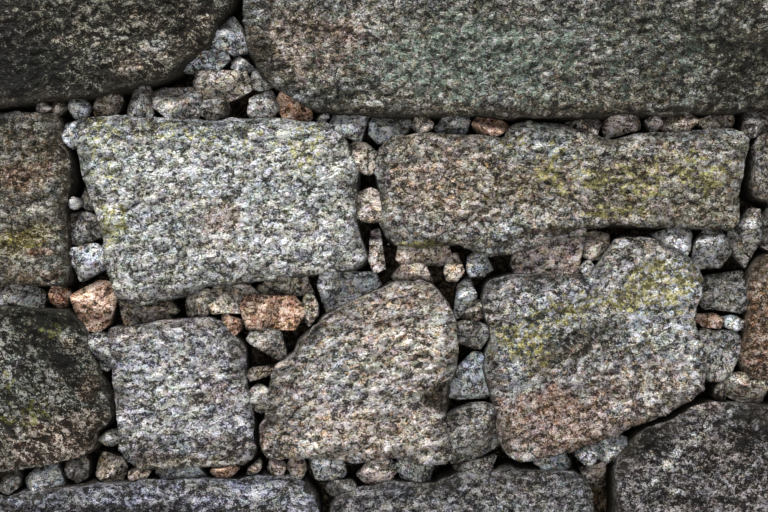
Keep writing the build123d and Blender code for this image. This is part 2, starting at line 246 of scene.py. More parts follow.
def chipped(outline, chance):
    """The outline of a pinning with its corners broken off along straight lines."""
    middle = outline.mean(0)
    outline = middle + (outline - middle) * pin_stretch
    for quarter in chance.permutation(4)[:chance.integers(2, 4)]:
        turn = np.radians(45 + 90 * quarter + chance.uniform(-chip_lean, chip_lean))
        reach = outline @ (np.cos(turn), np.sin(turn))
        limit = reach.max() - chance.uniform(chip_least, chip_most) * np.ptp(reach)
        kept = []
        for i in range(len(outline)):
            if reach[i] <= limit:
                kept.append(outline[i])
            after = (i + 1) % len(outline)
            if (reach[i] > limit) != (reach[after] > limit):
                share = (limit - reach[i]) / (reach[after] - reach[i])
                kept.append(outline[i] + (outline[after] - outline[i]) * share)
        outline = np.array(kept)
    return outline


def outward(outline):
    along = np.roll(outline, -1, axis=0) - np.roll(outline, 1, axis=0)
    along /= np.linalg.norm(along, axis=1)[:, None] + 1e-12
    return np.stack([along[:, 1], -along[:, 0]], 1)


# How near its middle a compact stone's point may be, and how much of that may be left
least_reach, least_left, most_left = 0.6, 0.25, 1.3


def drawn_in(outline, ways, inset, compact):
    """The outline moved in. A compact stone's points move towards its middle, so that no tip folds over."""
    if not compact:
        return outline - ways * inset[:, None]
    middle = outline.mean(0)
    spokes = outline - middle
    half_width = np.ptp(outline, axis=0).min() / 2
    reach = np.maximum(np.sum(ways * spokes, axis=1), half_width * least_reach)
    left = np.clip(1 - inset / reach, least_left, most_left)
    for _ in range(3):
        left = (np.roll(left, 1) + 2 * left + np.roll(left, -1)) / 4
    return middle + spokes * left[:, None]


def at_depth(outline, depth):
    return np.insert(outline, 1, depth, axis=1)


# Points inside a rim, in steps: between rows, how far each is shifted, how clear of the rim
row_step, point_shift, rim_clearance = 0.866, 0.22, 0.6


def inner_points(rim, step, chance, everywhere):
    """Points inside a rim, with their distance from it and the nearest of its points."""
    low, high = rim.min(0), rim.max(0)
    columns, rows = np.meshgrid(
        np.arange(low[0], high[0] + step, step), np.arange(low[1], high[1] + step, step * row_step)
    )
    columns[1::2] += step / 2
    kept = np.ones(columns.shape, bool)
    if not everywhere:
        in_view = (columns > view_left) & (columns < view_right) & (rows > view_foot) & (rows < view_top)
        sparse = np.zeros(columns.shape, bool)
        sparse[::2, ::2] = True
        kept = in_view | sparse
    points = np.stack([columns[kept], rows[kept]], 1)
    points += chance.uniform(-point_shift, point_shift, points.shape) * step
    tree = KDTree(len(rim))
    for i, (x, z) in enumerate(rim):
        tree.insert((x, z, 0), i)
    tree.balance()
    found = [tree.find((x, z, 0))[1:] for x, z in points]
    nearest = np.array([i for i, _ in found], int)
    reach = np.array([d for _, d in found])
    ways = outward(rim)
    inside = np.sum((points - rim[nearest]) * ways[nearest], axis=1) < 0
    kept = inside & (reach > step * rim_clearance)
    return points[kept], reach[kept], nearest[kept]


# A face's rim lies halfway round its arris
rim_share = 1 - np.sqrt(0.5)
inside_border, join_tolerance = 1, 1e-7


def cap(outline, ways, arris, arris_depth, step, chance, compact, everywhere=False):
    """One face of a stone: its points, how far each lies behind it and inside its rim, and its triangles."""
    rim = drawn_in(outline, ways, arris * rim_share, compact)
    points, reach, nearest = inner_points(rim, step, chance, everywhere)
    across = np.clip(1 - rim_share - reach / arris[nearest], 0, 1)
    behind = np.concatenate([arris_depth * rim_share, arris_depth[nearest] * (1 - np.sqrt(1 - across ** 2))])
    flat = np.vstack([rim, points])
    count = len(rim)
    border = [(i, (i + 1) % count) for i in range(count)]
    corners = [Vector(point) for point in flat.tolist()]
    found = delaunay_2d_cdt(corners, border, [], inside_border, join_tolerance)
    inside = np.concatenate([np.zeros(count), reach])
    return (flat, behind, inside, np.array(found[2])) if len(found[0]) == len(flat) else None


ring_start, ring_growth, ring_end = 0.004, 1.5, 0.006


def side_depths(front, back, dressing):
    """Where the rings of a stone's sides lie: close together near the front, and wider apart behind."""
    places, step = [front + ring_start], ring_start
    while places[-1] < back - 2 * ring_end:
        step = min(step * ring_growth, dressing.side_step)
        places.append(places[-1] + step)
    places = np.array(places)
    return front + (places - front) * (back - ring_end - front) / (places[-1] - front)


# A stone that can't be meshed with its full roughness and arris is tried again with less of them
cares = (1, 0.6, 0.3, 0)

# The rings round the arrises, in degrees from the face, and how far an arris's depth may vary
front_turns, back_turns = (62, 78, 90), (90, 66)
shallowest_arris, deepest_arris = 0.3, 1.4

# Inside the wall a stone's outline gets fuller, so that no light comes through a joint
full_from, full_at, fullness = 0.02, 0.05, 0.004


def dressed_shape(solid, dressing, seed):
    """The vertices and faces of a stone, and how far each vertex lies behind a face and inside its rim."""
    chance = np.random.default_rng(seed)
    compact = dressing.compact
    if compact:
        solid = solid._replace(outline=chipped(solid.outline, chance))
    for care in cares:
        outline, full, normals, arris = dressed_outline(solid, dressing, care, seed)
        vary = arris / dressing.arris
        arris_depth = dressing.arris_depth * vary.clip(shallowest_arris, deepest_arris)
        given = (outline, normals, arris, arris_depth)
        front = cap(*given, dressing.face_step, chance, compact)
        back = cap(*given, dressing.back_step, chance, compact, True)
        if front and back:
            break
    rings, behind = [], []

    def add_turned(angles, face, way):
        for turn in np.radians(angles):
            fall = arris_depth * (1 - np.cos(turn))
            ring = drawn_in(outline, normals, arris * (1 - np.sin(turn)), compact)
            rings.append(at_depth(ring, face + way * fall))
            behind.append(fall)

    add_turned(front_turns, solid.front, 1)
    start = solid.front + arris_depth.max()
    end = solid.back - arris_depth.max()
    for depth in side_depths(start, end, dressing):
        inside = min(depth - solid.front, solid.back - depth)
        rings.append(at_depth(outline + (full - outline) * ramp(inside, full_from, full_at), depth))
        behind.append(np.full(len(outline), inside))
    add_turned(back_turns, solid.back, -1)
    places, faces, behind, inside = joined(solid, front, rings, behind, back)
    if compact:
        break_faces(places, solid, chance)
    return places, faces, behind, inside


edge_lumps = (0.045, 1, 0), (0.016, 0.6, 0), (0.008, 0.35, 0)
arris_size, arris_spread, widest_arris, no_arris = 0.05, 0.7, 0.6, 1e-6


def dressed_outline(solid, dressing, care, seed):
    """A stone's outline as it shows and as it is inside the wall, its normals and its arris's width."""
    if not dressing.clearance or not care:
        outline = divided(solid.outline, dressing.edge_step)
        return outline, outline, outward(outline), np.full(len(outline), no_arris)
    base = softened(evenly(solid.outline, dressing.edge_step), dressing.softening / dressing.edge_step)
    inset = dressing.clearance - care * dressing.wobble * layered(at_depth(base, 0), edge_lumps, seed)
    outline = drawn_in(base, outward(base), inset, dressing.compact)
    full = drawn_in(base, outward(base), np.full(len(base), -fullness), dressing.compact)
    normals = outward(softened(outline, 2))
    half_width = np.ptp(outline, axis=0).min() / 2
    vary = 1 + arris_spread * noise(at_depth(outline, 0), arris_size, seed + 3)
    return outline, full, normals, np.minimum(dressing.arris * vary, half_width * widest_arris) * care


def joined(solid, front, rings, behind, back):
    """Both faces and the rings between them as one mesh; the rings count as outside the rim."""
    front_flat, front_behind, front_inside, front_faces = front
    back_flat, back_behind, back_inside, back_faces = back
    parts = [at_depth(front_flat, solid.front + front_behind)]
    parts += rings
    parts += [at_depth(back_flat, solid.back - back_behind)]
    firsts = np.cumsum([0, *map(len, parts)])[:-1]
    here = np.arange(len(rings[0]))
    after = np.roll(here, -1)
    faces = front_faces.tolist()
    for near, far in zip(firsts, firsts[1:]):
        faces += np.stack([near + here, far + here, far + after, near + after], 1).tolist()
    faces += (back_faces[:, ::-1] + firsts[-1]).tolist()
    inside = np.concatenate([front_inside, np.full(firsts[-1] - len(front_flat), -1), back_inside])
    return np.vstack(parts), faces, np.concatenate([front_behind, *behind, back_behind]), inside


# Broken planes of a pinning's face: where they start, how steep and deep they are, where they end
plane_count, plane_start = 4, 0.5
plane_least, plane_most = 0.3, 1.2
plane_depth, plane_end = 0.025, 0.05


def break_faces(places, solid, chance):
    """Slants the faces of a pinning along a few planes, as where it broke."""
    middle = solid.outline.mean(0)
    half_width = np.ptp(solid.outline, axis=0).min() / 2
    for face, way in ((solid.front, 1), (solid.back, -1)):
        hollow = np.zeros(len(places))
        for _ in range(plane_count):
            turn = chance.uniform(0, 2 * np.pi)
            reach = (places[:, [0, 2]] - middle) @ (np.cos(turn), np.sin(turn))
            edge = chance.uniform(-plane_start, plane_start) * half_width
            hollow = np.maximum(hollow, (reach - edge) * chance.uniform(plane_least, plane_most))
        share = np.clip(1 - (places[:, 1] - face) * way / plane_end, 0, 1)
        places[:, 1] += way * share * np.clip(hollow, 0, plane_depth)


# Looks of the stones: the relief of their faces and their weathered colours. A mark is an oval stain with
# a ragged edge, which may also be a hollow; lichen is a mark with no colour of its own. A few dark marks are
# painted shade: long bands along the lower edges of the top course, the bands of the upper course in part,
# and the dark of a hollow in the sloping block.

Look = namedtuple("Look", "tone relief stretch tilt ledge marks", defaults=(0, ()))
Mark = namedtuple("Mark", "x z wide high tone strength turn depth", defaults=(0.5, 0, 0))
lichen = None

# A stain whose tone is darker than this soils the pale flakes too
darkest_clean = 90

# How much a stretched grain is squeezed across its layers
squeeze = 0.3


def linear(tone):
    share = np.array(tone, float) / 255
    return np.where(share < 0.04045, share / 12.92, ((share + 0.055) / 1.055) ** 2.4)


def turned(x, z, degrees):
    """Places on the wall's face, along and across a line that is tilted by so many degrees."""
    turn = np.radians(degrees)
    return x * np.cos(turn) + z * np.sin(turn), -x * np.sin(turn) + z * np.cos(turn)


def stretched(places, look):
    """Places in the stone's own grain: squeezed along its layers, so that its lumps lie along them."""
    along, up = turned(places[:, 0], places[:, 2], look.tilt)
    return np.stack([along / look.stretch, places[:, 1], up * look.stretch ** squeeze], 1)


# How ragged a mark's edge is, where it ends and is full, and the depths at which marks do
ragged_edges = (0.055, 0.4, 20), (0.02, 0.3, 40), (0.009, 0.18, 60)
mark_end, mark_full = 1.2, 0.5
marks_from, marks_full = 0, -0.1


def mark_shares(places, look, seed):
    """How far each mark of a stone covers each place."""
    ragged = layered(places, ragged_edges, seed)
    on_front = ramp(places[:, 1], marks_from, marks_full)
    shares = []
    for mark in look.marks:
        along, up = turned(places[:, 0] - mark.x / 1000, places[:, 2] - mark.z / 1000, mark.turn)
        reach = np.hypot(along / (mark.wide / 2000), up / (mark.high / 2000))
        shares.append(ramp(reach + ragged, mark_end, mark_full) * mark.strength * on_front)
    return shares


def creased(places, size, height, seed):
    """Rounded lumps, parted by creases."""
    return height * (2.4 * np.abs(noise(places, size, seed)) - 1)


# Layered ledges, the waves in them, and the patches of a face where they show
layer_thickness, layer_waves, wave_size, ledge_fall = 0.027, 1.1, 0.075, 1.3
patch_size, patch_from, patch_full = 0.10, -0.3, 0.35

# The depth of grain that counts as a full pit, and the share that the lobes have in it
full_pit, lobe_share = 0.006, 0.3


def relief_of(places, look, shares, seed):
    """How far the broken surface stands out, and how deep in a pit each place is, from -1 to 1, which is
    painted as shade in pits and as highlight on lumps.
    """
    grain = stretched(places, look)
    broad = noise(places, 0.24, seed) * 0.0060 + noise(grain, 0.10, seed + 1) * 0.0052
    lobes = creased(grain, 0.052, 0.0040, seed + 2)
    lumps = creased(grain, 0.023, 0.0034, seed + 4)
    grit = noise(grain, 0.0105, seed + 5) * 0.0022
    height = (broad + lobes + lumps + grit) * look.relief
    if look.ledge:
        up = turned(places[:, 0], places[:, 2], look.tilt)[1]
        layer = up / layer_thickness + layer_waves * noise(grain, wave_size, seed + 9)
        above = layer - np.floor(layer)
        shown = ramp(noise(places, patch_size, seed + 10), patch_from, patch_full)
        height += look.ledge * (1 - above) ** ledge_fall * shown
    for mark, share in zip(look.marks, shares):
        height -= mark.depth / 1000 * share
    return height, (lumps + grit + lobe_share * lobes) / full_pit


# How a stone's tone drifts over its face, in brightness and in warmth
brightness_drift = (0.16, 1.2, 7), (0.065, 1, 8)
drift_strength, darkest_drift, palest_drift = 0.27, 0.25, 2
warmth_size, warmth_strength = 0.08, 0.08


def tones_of(places, look, shares, seed):
    """The tone of each place, and how much lichen and how much soil lies on it."""
    tone = np.tile(linear(look.tone), (len(places), 1))
    drift = layered(places, brightness_drift, seed)
    tone *= np.clip(1 + drift_strength * drift, darkest_drift, palest_drift)[:, None]
    warmth = noise(places, warmth_size, seed + 6) * warmth_strength
    tone *= 1 + warmth[:, None] * (1, 0, -1)
    growth, soil = np.zeros(len(places)), np.zeros(len(places))
    for mark, share in zip(look.marks, shares):
        if mark.tone is lichen:
            growth = np.maximum(growth, share)
            continue
        tone += (linear(mark.tone) - tone) * share[:, None]
        if max(mark.tone) < darkest_clean:
            soil = np.maximum(soil, share)
    return tone, growth, soil


# How near the crest and the wall's ends a stone's sides begin to be weathered, and are weathered fully
crest_from, crest_full, end_from, end_full = 0.035, 0.02, 0.03, 0.018


def exposed(places):
    """Where a stone's side is open to wind and rain: along the crest and at the wall's ends."""
    crest = ramp(places[:, 2], wall_high.z - crest_from, wall_high.z - crest_full)
    ends = ramp(np.abs(places[:, 0]), wall_high.x - end_from, wall_high.x - end_full)
    return np.maximum(crest, ends)


# The shares of the relief on open sides and in joints, and where behind the face it ends
open_relief, joint_relief, face_relief_end = 0.5, 0.35, 0.02
joint_relief_from, joint_relief_end = 0.015, 0.05


def relief_share(behind, inside, open_side):
    in_joint = joint_relief * (1 - ramp(behind, joint_relief_from, joint_relief_end))
    on_side = np.maximum(in_joint, open_relief * open_side)
    return np.maximum(on_side, ramp((inside >= 0) - behind / face_relief_end, -0.2, 1))


# Dirt and painted shade darken the joints and a ragged fringe round each face, and soil counts as deep
# hollows in the painted pit shade
grime_and_shade_from, grime_and_shade_full = 0.004, 0.034
fringe_strength, fringe_size = 0.6, 0.045
pit_shade_middle, pit_shade_spread, soil_depth = 0.5, 0.5, 0.9


def dressed_stone(solid, look, dressing, shape_seed, look_seed):
    """A stone's vertices and faces, and the tone and the weathering of each vertex: shade painted into
    hollows and highlight onto lumps, darkened by soil; dirt and painted shade in the joints and round the
    face; and lichen.
    """
    places, faces, behind, inside = dressed_shape(solid, dressing, shape_seed)
    ways = vertex_ways(places, faces)
    shares = mark_shares(places, look, look_seed)
    height, pit_shading = relief_of(places, look, shares, look_seed)
    open_side = exposed(places)
    places += ways * (height * relief_share(behind, inside, open_side))[:, None]
    places[:, 2] = np.maximum(places[:, 2], 0)
    tone, growth, soil = tones_of(places, look, shares, look_seed)
    # Dirt and painted shade: darker deep in the joints and in a ragged fringe round the face, but not on open
    # sides
    fringe = ramp(inside / dressing.fringe + noise(places, fringe_size, look_seed + 11), 1, -0.3)
    grime_and_shade = np.maximum(ramp(behind, grime_and_shade_from, grime_and_shade_full), fringe_strength * fringe) * (1 - open_side)
    # Red: shade painted into pits and highlight onto lumps, darkened by soil; green: dirt and painted shade;
    # blue: lichen
    weathering_and_shade = np.stack([pit_shade_middle + pit_shade_spread * pit_shading - soil_depth * soil, grime_and_shade, growth], 1)
    return places, faces, tone, weathering_and_shade


def dressed_piece(node, solids, looks, dressing, seed):
    """One piece that stands for all the solids of a node."""
    stones = [
        dressed_stone(solid, look, dressing, seed * 101 + i, seed * 13 + i)
        for i, (solid, look) in enumerate(zip(solids, looks))
    ]
    places, faces, tones, weathering_and_shade = zip(*stones)
    firsts = np.cumsum([0, *map(len, places)]).tolist()
    all_faces = [[first + corner for corner in face] for first, own in zip(firsts, faces) for face in own]
    piece = mesh_piece(f"dressed_{node}", np.vstack(places), all_faces)
    paint(piece, "tone", np.vstack(tones))
    paint(piece, "weathering_and_shade", np.vstack(weathering_and_shade))
    return piece


def vertex_ways(places, faces):
    mesh = bpy.data.meshes.new("trial")
    mesh.from_pydata(places.tolist(), [], faces)
    ways = np.empty(len(places) * 3, np.float32)
    mesh.vertices.foreach_get("normal", ways)
    bpy.data.meshes.remove(mesh)
    return ways.reshape(-1, 3)


def in_scene(name, data):
    made = bpy.data.objects.new(name, data)
    bpy.context.scene.collection.objects.link(made)
    return made


def mesh_piece(name, places, faces):
    mesh = bpy.data.meshes.new(name)
    mesh.from_pydata(places.tolist(), [], faces)
    mesh.polygons.foreach_set("use_smooth", np.ones(len(mesh.polygons), bool))
    return in_scene(name, mesh)


def paint(piece, name, colours):
    layer = piece.data.attributes.new(name, "FLOAT_COLOR", "POINT")
    layer.data.foreach_set("color", np.insert(colours, 3, 1, axis=1).astype(np.float32).ravel())


# Materials

class Nodes:
    """Adds nodes to a tree and joins them: a value may be a number, a colour or another node's output."""

    def __init__(self, tree):
        self.tree = tree

    def add(self, kind, values=(), **settings):
        node = self.tree.nodes.new(kind)
        for name, value in settings.items():
            setattr(node, name, value)
        for place, value in dict(values).items():
            self.feed(node.inputs[place], value)
        return node

    def feed(self, entry, value):
        if isinstance(value, bpy.types.NodeSocket):
            self.tree.links.new(value, entry)
        else:
            entry.default_value = value

    @classmethod
    def only_in(cls, owner):
        """The nodes of a material or a world, in place of those that it came with."""
        owner.use_nodes = True
        owner.node_tree.nodes.clear()
        return cls(owner.node_tree)

    def maths(self, operation, a, b=0.5, c=0.5):
        return self.add("ShaderNodeMath", {0: a, 1: b, 2: c}, operation=operation).outputs[0]

    def weighed(self, *terms):
        """The sum of some values, each times its weight."""
        (value, weight), *others = terms
        total = self.maths("MULTIPLY", value, weight)
        for value, weight in others:
            total = self.maths("MULTIPLY_ADD", value, weight, total)
        return total

    def mixed(self, share, a, b, blend="MIX"):
        node = self.add("ShaderNodeMix", {0: share, 6: a, 7: b}, data_type="RGBA", blend_type=blend)
        return node.outputs[2]

    def times(self, a, b):
        return self.mixed(1, a, b, "MULTIPLY")

    def eased(self, value, low, high):
        node = self.add("ShaderNodeMapRange", {0: value, 1: low, 2: high}, interpolation_type="SMOOTHSTEP")
        return node.outputs[0]

    def vectors(self, operation, values, output="Vector"):
        return self.add("ShaderNodeVectorMath", values, operation=operation).outputs[output]

    def noise(self, vector, scale, detail=2, roughness=0.5):
        values = {"Vector": vector, "Scale": scale, "Detail": detail, "Roughness": roughness}
        return self.add("ShaderNodeTexNoise", values).outputs

    def cells(self, vector, scale):
        """Cells of one colour each, as its three parts."""
        found = self.add("ShaderNodeTexVoronoi", {"Vector": vector, "Scale": scale}).outputs["Color"]
        return self.add("ShaderNodeSeparateColor", {0: found}).outputs

    def lumps(self, vector, scale, width):
        """Lumps, 1 at their tops, parted by thin winding lines of 0."""
        found = self.noise(vector, scale, 1)[0]
        return self.eased(self.maths("ABSOLUTE", self.maths("SUBTRACT", found, 0.5)), 0, width)


granite_sockets = {
    "INPUT": {
        "Vector": "Vector", "Tone": "Color", "Pit shade and soil": "Float", "Grime and shade": "Float", "Lichen": "Float",
        "Lichen tone": "Color", "Dark share": "Float", "Pale share": "Float", "Warm share": "Float",
    },
    "OUTPUT": {"Color": "Color", "Height": "Float"},
}

# Tints of the grain, as shares of a stone's own tone
warm_tint, pale_tint, dark_tint = (1.3, 0.95, 0.66, 1), (1.38, 1.4, 1.42, 1), (0.09, 0.085, 0.08, 1)
thin_growth, thick_growth = (0.35, 0.35, 0.35, 1), (1.4, 1.4, 1.4, 1)
# Near-black of dirt and painted shade in the joints and round each face
grime_and_shade_tone = (0.024, 0.020, 0.013, 1)

# How far a crystal's hue strays from its stone's, from the least of each colour
hue_spread, hue_least = (0.85, 0.3, 1.5), (0.575, 0.85, 0.25)


def granite_group():
    """Coarse weathered grain over a stone's own tone: pale flakes, dark crevices that are partly painted
    shade, grit and lichen, with painted shade and dirt in the joints.
    """
    group = bpy.data.node_groups.new("granite_grain", "ShaderNodeTree")
    for side, kinds in granite_sockets.items():
        for name, kind in kinds.items():
            group.interface.new_socket(name, in_out=side, socket_type=f"NodeSocket{kind}")
    n = Nodes(group)
    given = group.nodes.new("NodeGroupInput").outputs
    result = group.nodes.new("NodeGroupOutput").inputs
    place, tone = given["Vector"], given["Tone"]

    drift = n.vectors("SCALE", {0: n.noise(place, scale=95)["Color"], "Scale": 0.009})
    bent = n.vectors("ADD", {0: place, 1: drift})
    lumps = n.lumps(bent, scale=42, width=0.11)
    flakes = n.lumps(bent, scale=92, width=0.12)
    grains = n.lumps(place, scale=190, width=0.12)
    grit = n.noise(place, scale=230, detail=2, roughness=0.7)[0]
    pepper = n.noise(place, scale=430, detail=1)[0]
    crystals = n.cells(bent, scale=130)
    clusters = n.cells(bent, scale=62)
    broad = n.noise(bent, scale=33)[0]
    # Lightness of the grain: its own crystals, grit and pepper, with painted shade in the creases between
    # lumps and flakes and painted highlight on their tops, like the bump, and the painted pit shade
    light = n.weighed(
        (flakes, 0.11), (lumps, 0.09), (grains, 0.07), (grit, 0.5), (pepper, 0.66), (crystals["Red"], 0.26),
        (clusters["Red"], 0.13), (given["Pit shade and soil"], 0.11), (broad, 0.19),
    )
    light = n.maths("SUBTRACT", light, 0.59)

    hue = n.noise(bent, scale=66, detail=3, roughness=0.68)["Color"]
    tone = n.times(tone, n.vectors("MULTIPLY_ADD", {0: hue, 1: hue_spread, 2: hue_least}))
    warm_edge = n.maths("SUBTRACT", 1, given["Warm share"])
    warmth = n.eased(crystals["Green"], warm_edge, n.maths("ADD", warm_edge, 0.1))
    tone = n.mixed(n.maths("MULTIPLY", warmth, 0.7), tone, n.times(tone, warm_tint))

    plain = n.add("ShaderNodeRGBToBW", {0: tone}).outputs[0]
    pale = n.add("ShaderNodeGamma", {0: n.mixed(0.4, tone, plain), 1: 0.62}).outputs[0]
    bright = n.maths("ADD", light, given["Pale share"])
    colour = n.mixed(n.eased(bright, 0.5, 0.74), tone, n.times(pale, pale_tint))
    gloom = n.maths("SUBTRACT", light, given["Dark share"])
    colour = n.mixed(n.eased(gloom, 0.52, 0.30), colour, n.times(tone, dark_tint))

    flecks = n.noise(place, scale=85, detail=3, roughness=0.65)[0]
    lichen_edge = n.maths("MULTIPLY_ADD", given["Lichen"], -0.34, 0.70)
    is_lichen = n.eased(flecks, lichen_edge, n.maths("ADD", lichen_edge, 0.09))
    growth = n.mixed(n.eased(light, 0.34, 0.68), thin_growth, thick_growth)
    colour = n.mixed(n.maths("MULTIPLY", is_lichen, 0.8), colour, n.times(growth, given["Lichen tone"]))
    # Dirt and painted shade darken the joints and the rim of the face
    colour = n.mixed(n.maths("MULTIPLY", given["Grime and shade"], 0.93), colour, grime_and_shade_tone)
    n.feed(result["Color"], colour)
    height = n.weighed((flakes, 0.14), (lumps, 0.16), (grains, 0.07), (broad, 0.9), (grit, 0.35))
    n.feed(result["Height"], height)
    return group


usual_finish = (0, 0, 0.08, (148, 136, 62), 0, 1.15)
Finish = namedtuple("Finish", "dark pale warm growth tilt stretch", defaults=usual_finish)
grain_height = 0.012


def granite(name, group, finish):
    material = bpy.data.materials.new(name)
    n = Nodes.only_in(material)
    place = n.add("ShaderNodeTexCoord").outputs["Object"]
    tilt = {"Vector": place, "Angle": np.radians(finish.tilt)}
    tilted = n.add("ShaderNodeVectorRotate", tilt, rotation_type="Y_AXIS").outputs[0]
    along = n.vectors("MULTIPLY", {0: tilted, 1: (1 / finish.stretch, 1, finish.stretch ** squeeze)})
    tone = n.add("ShaderNodeAttribute", attribute_name="tone").outputs["Color"]
    # Painted pit shade and highlight with soil, dirt with painted shade, and lichen, from the mesh
    weathering_and_shade = n.add("ShaderNodeAttribute", attribute_name="weathering_and_shade").outputs["Color"]
    weathering_and_shade = n.add("ShaderNodeSeparateColor", {0: weathering_and_shade}).outputs
    grain = n.add("ShaderNodeGroup", node_tree=group)
    for entry, value in (
        ("Vector", along), ("Tone", tone), ("Pit shade and soil", weathering_and_shade["Red"]), ("Grime and shade", weathering_and_shade["Green"]),
        ("Lichen", weathering_and_shade["Blue"]), ("Lichen tone", (*linear(finish.growth), 1)),
        ("Dark share", finish.dark), ("Pale share", finish.pale), ("Warm share", finish.warm),
    ):
        n.feed(grain.inputs[entry], value)
    relief = {"Height": grain.outputs["Height"], "Strength": 1, "Distance": grain_height}
    shader = n.add("ShaderNodeBsdfPrincipled", {
        "Base Color": grain.outputs["Color"], "Roughness": 0.88, "Specular IOR Level": 0.25,
        "Normal": n.add("ShaderNodeBump", relief).outputs[0],
    })
    n.add("ShaderNodeOutputMaterial", {"Surface": shader.outputs[0]})
    return material


# Tones of stains
soot, moss, mould, umber = (38, 36, 30), (36, 40, 18), (62, 60, 46), (78, 64, 48)
rust, flesh, sand, olive = (142, 92, 56), (158, 132, 116), (168, 150, 128), (120, 106, 52)
ash, slate, chalk = (128, 128, 124), (92, 94, 98), (196, 194, 188)

